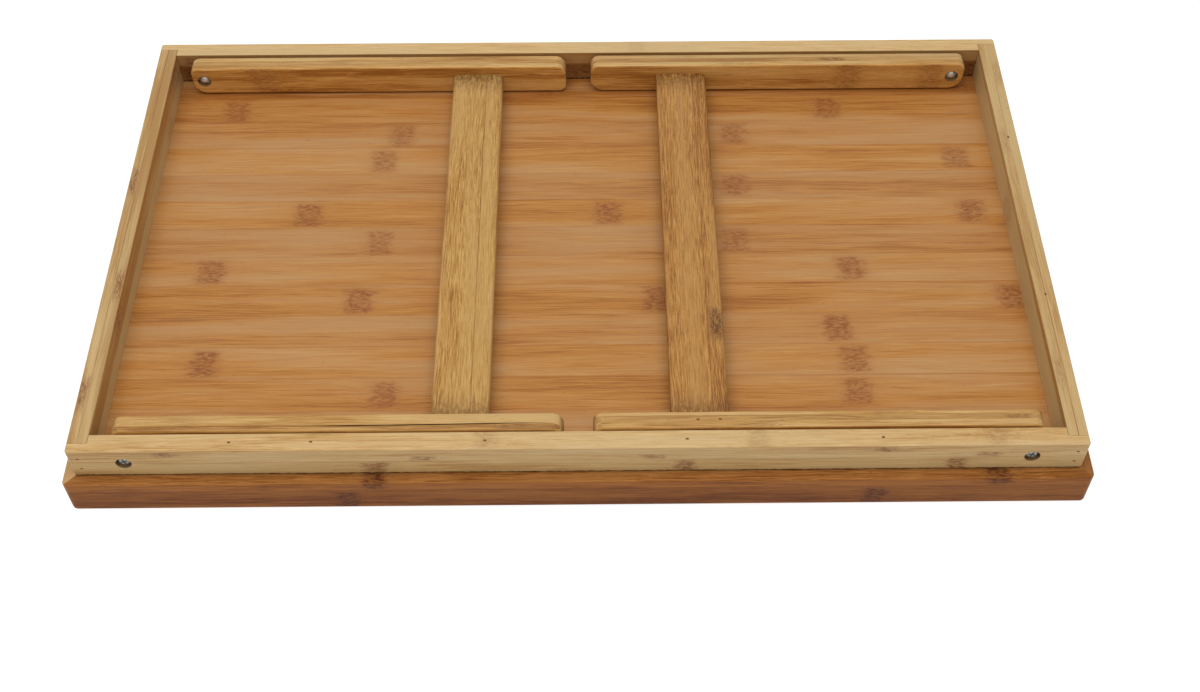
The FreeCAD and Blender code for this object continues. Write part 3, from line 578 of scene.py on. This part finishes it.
# On upper faces the strips are counted from this place on, past those of the other faces.
TOP_START = 100
RAIL_STRIPS = {
    "front": ((21.8, -0.02, 0.2, 1.0, -98.4, 51.4, 182.7), (32.5, 0.03, 0.0, 0.8, -74.7, 36, 197),
              (36.8, 0.0, 0.1, 0.9, -197.3, 147.1), (41.4, 0.1, 0.0, 0.35, -44, 86, 200.2), 43.4),
    # The back rail's lowest strip is darker, with dark nodes at its middle and corners: painted
    # shade low on its inner face and in the corners.
    "back": ((21.8, -0.4, 0.0, 1.0, 0, 231, -228), (34, 0.3, 0.0, 0.6, -225, 90),
             (41.4, 0.3, 0.1, 0.2, 34), 43.4),
    "left": ((21.8, 0.15, 0.9, 0.4, 90), (31, -0.65, -0.1, 0.8, -60, 120), (60, 0.0, 0.0, 0.0),
             (100, -0.3, 0.1, 1.0, 32.7, -110), (105, -0.7, 0.2, 1.0, -40.6), 110),
    "right": ((21.8, 0.5, 0.7, 0.4, 20), (38.5, -0.85, 0.0, 0.5), (60, 0.0, 0.0, 0.0),
              (100, -0.1, 0.3, 0.4, -100, 60), (105, -0.02, 0.3, 0.4, 115), 110)}
RAIL_CLOUDY = {"left": 1.8, "right": 1.2}

for side, way in (("front", -1), ("back", 1)):
    face_y = way * RAIL_OUT_Y
    shoulder, lap = RAIL_OUT_X - RAIL_THICK - LAP_PLAY, RAIL_THICK / 2
    outline = [(-RAIL_OUT_X, 0), (RAIL_OUT_X, 0), (RAIL_OUT_X, lap), (shoulder, lap),
               (shoulder, RAIL_THICK), (-shoulder, RAIL_THICK), (-shoulder, lap),
               (-RAIL_OUT_X, lap)]
    rail = prism(outline, RAIL_LOW, RAIL_TOP, lambda a, b, c: (a, face_y - way * b, c))
    ease_edges(rail, CORNER_EASE, lambda p, q: abs(p.z - q.z) > MM
               and abs(p.y - face_y) < CLOSE and abs(abs(p.x) - RAIL_OUT_X) < CLOSE, steps=5)
    ease_edges(rail, RAIL_EASE, lambda p, q: on_top(p, q) and furthest_y(p, q) > OUTER_Y,
               steps=4)
    ease_edges(rail, FOOT_EASE, lambda p, q: on_foot(p, q) and furthest_y(p, q) > OUTER_Y,
               steps=2)
    ease_edges(rail, INNER_EASE, lambda p, q: on_top(p, q) and furthest_y(p, q) < INNER_Y,
               steps=2)
    cutters = [hole(stations, x, face_y, -way) for stations in (HEAD_HOLE, RAIL_HOLE)
               for x in (-BOLT_X, BOLT_X)]
    cutters += [pit(x, face_y, z, "face") for x, z in CORNER_BRADS]
    # Painted shade: a dark line along the crevice at the rails' feet, and darker walls in the bolt
    # holes.
    stains_and_shade = [grime_and_crevice_shade("Z", 23.4, 22.9, 1.0), bore_shade(RAIL_MOUTH)]
    if side == "front":
        cutters += [pit(x, -RAIL_MIDDLE_Y, RAIL_TOP, "long edge") for x in FRONT_BRADS]
    else:
        # The back rail's inner face is painted darker, as shade.
        stains_and_shade.insert(0, face_tint_and_shade("Y", BACK_INNER_SHADE, -1))
    finish = bamboo(f"pale_bamboo_{side}", "X", "Z", RAIL_STRIPS[side], PALE, node_long=7.5,
                    stains_and_shade=stains_and_shade)
    piece(f"apron_rail_{side}", drill(rail, cutters), "tray", "apron_bamboo", finish,
          f"apron_{side}")

for side in ("left", "right"):
    low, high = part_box(f"apron_{side}")
    rail = block(low, high)
    ease_edges(rail, RAIL_EASE, lambda p, q: on_top(p, q) and abs(p.y - q.y) > MM)
    if side == "right":
        rail = drill(rail, [pit(CORNER_BRAD_X, y, RAIL_TOP, "end edge") for y in RIGHT_BRADS])
    finish = bamboo(f"pale_bamboo_{side}", "Y", "Z", RAIL_STRIPS[side], PALE,
                    top=("X", TOP_START - low.x / MM), glue=(0.6, 0.5),
                    cloudy=RAIL_CLOUDY[side], node_long=14)
    piece(f"apron_rail_{side}", rail, "tray", "apron_bamboo", finish, f"apron_{side}")


# ---------------------------------------------------------------- legs
# Four flat legs, laminated from three strips on edge, with both ends sawn round and the arrises
# sanded off.  Each has a bore for its pivot bolt, with a counterbore inside for the nut.  The
# left front leg's glue line has split open.
LEG_EASE = 1.5 * MM
# The radii of the free end's upper and lower corners, and of the pivot end's.
FREE_ENDS = {"left": (6.5 * MM, 4.5 * MM), "right": (5 * MM, 8 * MM)}
PIVOT_END = (5 * MM, 8 * MM)
LEG_MOUTH = 3.9
NUT_HOLE = ((LEG_MOUTH, -1), (LEG_MOUTH, 0), (3.7, 0.2), (3.7, 6))
LEG_HOLE = ((2.05, 5.9), (2.05, 12))
BAR_BRADS = {"left": (-64.25 * MM, -58.55 * MM), "right": (57.7 * MM, 68.4 * MM)}
OPEN_PITS, OPEN_LINE = ("right", "front"), ("left", "front")
# The split's outline in mm, and the middle and half width in Y of the walls that it lays open, which
# are painted dark as shade.
SPLIT = ((-143, -130.1), (-110, -129.7), (-70, -129.35), (-40, -129), (-15, -128.95),
         (-15, -129.05), (-40, -129.5), (-70, -130), (-110, -130.25))
SPLIT_DEEP, SPLIT_Y, SPLIT_HALF = 2.5 * MM, -129.6, 1.5
GOLDEN = ((146, 98, 44), (190, 144, 80), (216, 178, 116), (182, 148, 98), (112, 62, 28))
# The legs' broad faces are tinted more orange: partly their own colour, partly painted bounce light
# from the panel.
LEG_FACE_TINT_AND_BOUNCE = (1.13, 0.99, 0.76)
FACE_TONES = {"left": 0.04, "right": -0.14}
FACE_NODES = {("left", "front"): (-120,), ("right", "front"): (60,),
              ("left", "back"): (-183.5,), ("right", "back"): (157.7, 206)}
# The strips on top, with their starts in mm from the leg's front face.
LEG_TOPS = {("left", "front"): ((0, -0.15, -0.2, 0.4, -30), (3.2, 0.18, -0.05, 0.2, -190)),
            ("right", "front"): ((0, 0.18, 0.0, 0.3, 90), (4, 0.06, 0.1, 0.8, 212),
                                 (7, 0.18, -0.1, 0.3, 150)),
            ("left", "back"): ((0, 0.0, -0.2, 0.2, -60), (3.2, -0.12, -0.1, 0.3, -140),
                               (5.6, 0.2, -0.1, 0.2, -100)),
            ("right", "back"): ((0, 0.08, -0.1, 0.3, 90), (3.2, -0.02, 0.2, 1.0, 146.6),
                                (6.2, 0.34, 0.35, 0.2, 60))}
END_STEPS = 10


def split_shade(wood, shade):
    """Painted shade: the walls of the split along a glue line are coloured dark."""
    walls = (abs(wood.place["Y"] - SPLIT_Y).maths("LESS_THAN", SPLIT_HALF)
             * wood.lean["Y"].maths("GREATER_THAN", 0.7))
    return wood.blend(walls * 0.9, shade, colour(48, 27, 14))


for side, way in (("left", -1), ("right", 1)):
    for end, hand in (("front", -1), ("back", 1)):
        low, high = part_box(f"{side}_leg_{end}")
        near, far = sorted((abs(low.x), abs(high.x)))
        up, down = FREE_ENDS[side]
        top, base = PIVOT_END
        outline = arc((far - top, high.z - top), top, 0, 90, END_STEPS)
        outline += arc((near + up, high.z - up), up, 90, 180, END_STEPS)
        outline += arc((near + down, low.z + down), down, 180, 270, END_STEPS)
        outline += arc((far - base, low.z + base), base, 270, 360, END_STEPS)
        leg = prism(outline, low.y, high.y, lambda a, b, c: (way * a, c, b))
        ease_edges(leg, LEG_EASE, lambda p, q: abs(p.y - q.y) < CLOSE, steps=5)
        inner, middle = hand * min(abs(low.y), abs(high.y)), (low.y + high.y) / 2
        cutters = [hole(stations, way * BOLT_X, inner, hand)
                   for stations in (NUT_HOLE, LEG_HOLE)]
        # Painted light: the broad faces are tinted more orange, partly as bounce light from the
        # panel, and the bolt holes' walls are darker, as shade.
        stains_and_shade = [face_tint_and_shade("Y", LEG_FACE_TINT_AND_BOUNCE), bore_shade(LEG_MOUTH)]
        if (side, end) == OPEN_LINE:
            cutters.append(prism(SPLIT, high.z - SPLIT_DEEP, high.z + MM,
                                 lambda a, b, c: (a * MM, b * MM, c)))
            stains_and_shade.append(split_shade)
        if (side, end) == OPEN_PITS:
            cutters += [pit(x, middle, high.z, "long edge") for x in BAR_BRADS[side]]
        first = low.y / MM
        strips = [(first - 5, FACE_TONES[side], 0.0, 0.55, *FACE_NODES[side, end]),
                  (first + 20, 0.0, 0.0, 0.0)]
        strips += [(first + TOP_START + start, *rest) for start, *rest in LEG_TOPS[side, end]]
        finish = bamboo(f"golden_bamboo_{side}_{end}", "X", "Y",
                        strips + [first + TOP_START + 10], GOLDEN, top=("Y", TOP_START),
                        streaky=1.1, cloudy=1.5, glue=(0.35, 0.35), stains_and_shade=stains_and_shade)
        piece(f"leg_{side}_{end}", drill(leg, cutters), f"{side}_leg_frame", "leg_bamboo",
              finish, f"{side}_leg_{end}")


# ---------------------------------------------------------------- crossbars
# A flat bar with rounded edges is tenoned between each pair of legs and nailed through them.
# Its grain runs from leg to leg.
BAR_LOOKS = {
    "left": (((-73, 0.0, 0.0, 0.5), (-53, 0.05, 0.1, 0.5), -43),
             ((146, 94, 36), (190, 143, 76), (214, 172, 106), (182, 142, 82), (120, 68, 28))),
    "right": (((45, 0.0, 0.0, 0.5), (66, -0.1, -0.1, 1.0, -61.7, -66), 76),
              ((134, 80, 30), (178, 126, 62), (204, 156, 88), (172, 126, 70), (76, 38, 20)))}
for side, (strips, palette) in BAR_LOOKS.items():
    refinish(f"{side}_crossbar", bamboo(
        f"golden_bamboo_{side}_bar", "Y", "X", strips, palette, streaky=1.5, cloudy=0.7,
        glue=(0.6, 0.5), fibre_long=13, stains_and_shade=[grime_and_crevice_shade("Y", 104, 124, 0.65)]))


# ---------------------------------------------------------------- brads
# Flat wire brads hold the corners, the apron and the crossbars.  Each is punched a little below
# the wood and is seen as a dark dot.  Six of the legs' are deeper, under putty of the wood's tone.
LONG_BRAD, CORNER_BRAD, BAR_BRAD = 29 * MM, 17 * MM, 14 * MM
LEG_MIDDLE, LEG_TOP, PUTTY_DEEP = 127.8 * MM, 42 * MM, 1 * MM
# Metal further out than this, in mm, is in the rails' outer faces, where it can be painted darker as
# shade.
RECESSED_Y = 138


def steel(name, tint, rough, bright, recess_shade=1.0, metal=1.0):
    """Dull steel with clouds and scratches.  Bright is how light its darkest clouds are."""
    finish = Finish(name)
    metres = finish.node("SeparateXYZ", {"Vector": finish.node("TexCoord")["Object"]})
    x, y, z = (metres[axis] * (1 / MM) for axis in "XYZ")
    clouds = finish.fibres(x, y, z, (1.4, 1.4), detail=4)
    scratches = finish.fibres(x, y, z, (3.0, 0.12), detail=2)
    dull = tuple(c * bright for c in tint[:3]) + (1.0,)
    shade = finish.blend(finish.ease(clouds, 0.35, 0.7), dull, tint)
    # Painted shade: the metal sunk in the rails' outer faces is multiplied darker.
    outside = abs(y).maths("GREATER_THAN", RECESSED_Y)
    shade = finish.blend(outside, shade, (recess_shade, recess_shade, recess_shade, 1), mode="MULTIPLY")
    return finish.surface({"Base Color": shade, "Metallic": metal,
                           "Roughness": rough + (clouds - 0.5) * 0.3 + scratches * 0.1},
                          scratches, depth=0.03 * MM, strength=0.4)


def point_tree(name, inputs, pattern):
    """Geometry nodes that set a pattern on every point of a mesh, turned by the point's turn.
    Inputs are (name, kind), and pattern makes the geometry to set from them."""
    tree = bpy.data.node_groups.new(name, "GeometryNodeTree")
    for title, kind in (("Geometry", "Geometry"), *inputs, ("Material", "Material")):
        tree.interface.new_socket(title, in_out="INPUT", socket_type=f"NodeSocket{kind}")
    tree.interface.new_socket("Geometry", in_out="OUTPUT", socket_type="NodeSocketGeometry")
    nodes = Nodes(tree)
    given = nodes.node("NodeGroupInput")
    turn = nodes.node("GeometryNodeInputNamedAttribute", {"Name": "turn"},
                      data_type="FLOAT_VECTOR")
    spin = nodes.node("FunctionNodeEulerToRotation", {0: turn[0]})
    set_in = nodes.node("GeometryNodeInstanceOnPoints", {
        "Points": given["Geometry"], "Instance": pattern(nodes, given), "Rotation": spin[0]})
    real = nodes.node("GeometryNodeRealizeInstances", {"Geometry": set_in[0]})
    painted = nodes.node("GeometryNodeSetMaterial", {"Geometry": real[0],
                                                     "Material": given["Material"]})
    nodes.node("NodeGroupOutput", {"Geometry": painted[0]})
    return tree


def flat_wire(nodes, given):
    """A brad with its head at the origin, pointing down."""
    size = nodes.node("CombineXYZ", {"X": given["Width"], "Y": given["Thickness"],
                                     "Z": given["Length"]})
    wire = nodes.node("GeometryNodeMeshCube", {"Size": size[0]})
    lower = nodes.node("CombineXYZ", {"Z": given["Length"] * -0.5})
    return nodes.node("GeometryNodeTransform", {"Geometry": wire["Mesh"],
                                                "Translation": lower[0]})["Geometry"]


def on_points(name, tree, places, values, body, slot, *nodes):
    """Runs a tree on points of (place, turn) and lets the plain mesh stand for CAD nodes."""
    host = bpy.data.meshes.new(name)
    host.from_pydata([place for place, turn in places], [], [])
    turns = host.attributes.new("turn", "FLOAT_VECTOR", "POINT")
    for item, (place, turn) in zip(turns.data, places):
        item.vector = turn
    made = add_object(name, host)
    worker = made.modifiers.new("make", "NODES")
    worker.node_group = tree
    for item in tree.interface.items_tree:
        if item.in_out == "INPUT" and item.name in values:
            worker[item.identifier] = values[item.name]
    made.update_tag()
    bpy.context.view_layer.update()
    settle(made, body, nodes)


brad_tree = point_tree("brads", [("Width", "Float"), ("Thickness", "Float"),
                                 ("Length", "Float")], flat_wire)
BRAD = {"Width": BRAD_WIDE, "Thickness": BRAD_THICK,
        "Material": steel("punched_brad_steel", colour(132, 92, 56), 0.6, 0.6, metal=0.25)}
TURNS = {"down": (0, 0, 0), "down, turned": (0, 0, math.pi / 2),
         "front": (math.pi / 2, 0, 0), "back": (-math.pi / 2, 0, 0)}
brad_z = RAIL_TOP - BRAD_DEEP
on_points("brads_in_apron", brad_tree,
          [((x, -RAIL_MIDDLE_Y, brad_z), TURNS["down"]) for x in FRONT_BRADS]
          + [((CORNER_BRAD_X, y, brad_z), TURNS["down, turned"]) for y in RIGHT_BRADS],
          {**BRAD, "Length": LONG_BRAD}, "tray", "brad_steel", "apron_brads")
on_points("brads_in_corners", brad_tree,
          [((x, way * (RAIL_OUT_Y - BRAD_DEEP), z), TURNS[side])
           for side, way in (("front", -1), ("back", 1)) for x, z in CORNER_BRADS],
          {**BRAD, "Length": CORNER_BRAD}, "tray", "brad_steel", "corner_brads")
for side in ("left", "right"):
    places = []
    for x in BAR_BRADS[side]:
        for end, hand in (("front", -1), ("back", 1)):
            sunk = BRAD_DEEP if (side, end) == OPEN_PITS else PUTTY_DEEP
            places.append(((x, hand * LEG_MIDDLE, LEG_TOP - sunk), TURNS["down"]))
    on_points(f"brads_in_{side}_legs", brad_tree, places, {**BRAD, "Length": BAR_BRAD},
              f"{side}_leg_frame", "brad_steel", f"{side}_crossbar_brads")


# ---------------------------------------------------------------- pivot bolts
# A pan-head bolt with a cross recess goes through each rail and leg.  Its head lies in the
# rail's counterbore.  Its end, past the nut in the leg's counterbore, carries a domed cap.
HEAD_R, HEAD_HIGH, SHANK_R, HEAD_SUNK = 3.3 * MM, 2 * MM, 2 * MM, 0.6 * MM
CAP_R, CAP_HIGH, CAP_DOME, DOME_STEPS = 2.75 * MM, 2.3 * MM, 2 * MM, 8
PITCH, THREAD_DEEP, PLAIN_SHANK = 0.7 * MM, 0.28 * MM, 8 * MM
RECESS_ARM, RECESS_HALF, RECESS_DEEP = 1.9 * MM, 0.42 * MM, 1.1 * MM
# The head's profile as shares of its radius and height, and how far the recess is turned.
PAN_HEAD = ((0, 0), (0.35, 0), (0.62, 0.05), (0.82, 0.18), (0.94, 0.42), (1.0, 0.75), (1.0, 1.0))
RECESS_TURN = 0.35
bolt_low, bolt_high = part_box("pivot_bolt_right_front")
BOLT_LONG = bolt_high.y - bolt_low.y - HEAD_SUNK


def lathe(section, steps=40):
    """A solid turned around Z from (radius, height) points, the first and last on the axis."""
    shape = bmesh.new()
    rings = [ring(shape, radius, lambda a, b: (a, b, height), steps if radius > 1e-7 else 1)
             for radius, height in section]
    skin(shape, rings)
    bmesh.ops.recalc_face_normals(shape, faces=shape.faces)
    return shape


section = [(HEAD_R * r, HEAD_HIGH * z) for r, z in PAN_HEAD] + [(SHANK_R, HEAD_HIGH)]
depth = HEAD_HIGH + PLAIN_SHANK
while depth < BOLT_LONG - CAP_HIGH - PITCH:
    section += [(SHANK_R, depth), (SHANK_R - THREAD_DEEP, depth + PITCH / 2)]
    depth += PITCH
section += [(SHANK_R, depth), (SHANK_R, BOLT_LONG - CAP_HIGH), (CAP_R, BOLT_LONG - CAP_HIGH)]
for turn in (math.pi / 2 * k / DOME_STEPS for k in range(DOME_STEPS)):
    section.append((CAP_R * math.cos(turn), BOLT_LONG - CAP_DOME * (1 - math.sin(turn))))
section.append((0, BOLT_LONG))
bolt = lathe(section)
for arm_x, arm_y, deep in ((RECESS_ARM, RECESS_HALF, RECESS_DEEP),
                           (RECESS_HALF, RECESS_ARM, RECESS_DEEP - CLOSE)):
    bolt = drill(bolt, [block((-arm_x, -arm_y, -MM), (arm_x, arm_y, deep))])
bolt_mesh = as_mesh("pan_head_bolt", bolt)
round_off(bolt_mesh, 35)
pattern = bpy.data.objects.new("pan_head_bolt", bolt_mesh)

# The bolt heads sunk in the rails' counterbores are painted half as bright, as shade.
zinc = steel("zinc_steel", colour(236, 233, 224), 0.42, 0.7, recess_shade=0.5, metal=0.6)
bolt_tree = point_tree("bolts", [("Bolt", "Object")], lambda nodes, given: nodes.node(
    "GeometryNodeObjectInfo", {"Object": given["Bolt"]})["Geometry"])
places, stood_for = [], []
for side, x_way in (("left", -1), ("right", 1)):
    for end, y_way in (("front", -1), ("back", 1)):
        stood_for.append(f"pivot_bolt_{side}_{end}")
        low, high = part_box(stood_for[-1])
        seat = low.y + HEAD_SUNK if y_way < 0 else high.y - HEAD_SUNK
        places.append(((x_way * BOLT_X, seat, BOLT_Z),
                       (y_way * math.pi / 2, x_way * RECESS_TURN, 0)))
on_points("pivot_bolts", bolt_tree, places, {"Bolt": pattern, "Material": zinc},
          "tray", "bolt_steel", *stood_for)
bpy.data.objects.remove(pattern)


# ---------------------------------------------------------------- nuts and washers
# A hexagon nut clamps each bolt in the leg's counterbore.  A thick washer keeps the leg off the
# rail.  Both are plain zinc-plated steel.
dull_zinc = steel("dull_zinc_steel", colour(168, 164, 156), 0.4, 0.4)
for side in ("left", "right"):
    for end in ("front", "back"):
        refinish(f"pivot_nut_{side}_{end}", zinc)
        refinish(f"pivot_washer_{side}_{end}", dull_zinc)


# ---------------------------------------------------------------- floor and backdrop
# The table lies upside down on a plain white floor.  To the camera the floor is paper white,
# except where the table's own shadow falls on it.  From below it is clear.
FLOOR_HALF, FLOOR_DROP = 15, 0.2 * MM
GLOW, GLOW_SHARE = 1.38, 0.6


def to_the_eye(nodes):
    """1 for what the camera sees, straight or by way of metal or glass."""
    ray = nodes.node("LightPath")
    return ray["Is Camera Ray"].maths("MAXIMUM", ray["Is Glossy Ray"]).maths(
        "MAXIMUM", ray["Is Transmission Ray"])


ground = bmesh.new()
for x, y in ((-1, -1), (1, -1), (1, 1), (-1, 1)):
    ground.verts.new((x * FLOOR_HALF, y * FLOOR_HALF, -FLOOR_DROP))
ground.faces.new(ground.verts)
floor = add_object("floor", as_mesh("floor", ground))
paper = Finish("white_floor")
matt = paper.node("BsdfDiffuse", {"Color": (0.9, 0.9, 0.9, 1)})[0]
glow = paper.node("Emission", {"Color": (1, 1, 1, 1), "Strength": GLOW})[0]
upper_side = paper.node("MixShader", {0: to_the_eye(paper) * GLOW_SHARE, 1: matt, 2: glow})[0]
below, clear = paper.node("NewGeometry")["Backfacing"], paper.node("BsdfTransparent")[0]
paper.node("OutputMaterial", {"Surface": paper.node(
    "MixShader", {0: below, 1: upper_side, 2: clear})[0]})
floor.data.materials.append(paper.material)


# ---------------------------------------------------------------- light
# Soft studio light: a wide lamp overhead and a little in front, and an even white surround.
world = bpy.data.worlds.new("studio")
world.use_nodes = True
bpy.context.scene.world = world
sky = Nodes(world.node_tree)
even = sky.node("Background", {"Color": (0.8, 0.8, 0.8, 1), "Strength": 0.6})[0]
white = sky.node("Background", {"Color": (1, 1, 1, 1), "Strength": 1.0})[0]
sky.node("OutputWorld", {"Surface": sky.node(
    "MixShader", {0: to_the_eye(sky), 1: even, 2: white})[0]})

softbox = bpy.data.lights.new("overhead_softbox", "AREA")
softbox.shape, softbox.size, softbox.size_y = "RECTANGLE", 1.6, 1.2
softbox.energy = 15
lamp = add_object("overhead_softbox", softbox)
lamp.location = (-0.1, -0.3, 1.5)
lamp.rotation_euler = (-lamp.location).to_track_quat("-Z", "Y").to_euler()


# ---------------------------------------------------------------- camera
# It looks down on the table from in front, as a short tele lens at about 0.9 m would.
CAMERA_PLACE = (0.0073, -0.5665, 0.6631)
PAN, LOOK_DOWN, ROLL = -0.4202, 52.0796, -0.1113
optics = bpy.data.cameras.new("camera")
optics.sensor_fit, optics.sensor_width, optics.lens = "HORIZONTAL", 36, 47.302
optics.clip_start, optics.clip_end = 0.05, 50
camera = add_object("camera", optics)
camera.matrix_world = (
    Matrix.Translation(CAMERA_PLACE)
    @ Matrix.Rotation(math.radians(PAN), 4, "Z")
    @ Matrix.Rotation(math.radians(90 - LOOK_DOWN), 4, "X")
    @ Matrix.Rotation(math.radians(ROLL), 4, "Z"))
bpy.context.scene.camera = camera
bpy.context.scene.view_settings.view_transform = "Standard"
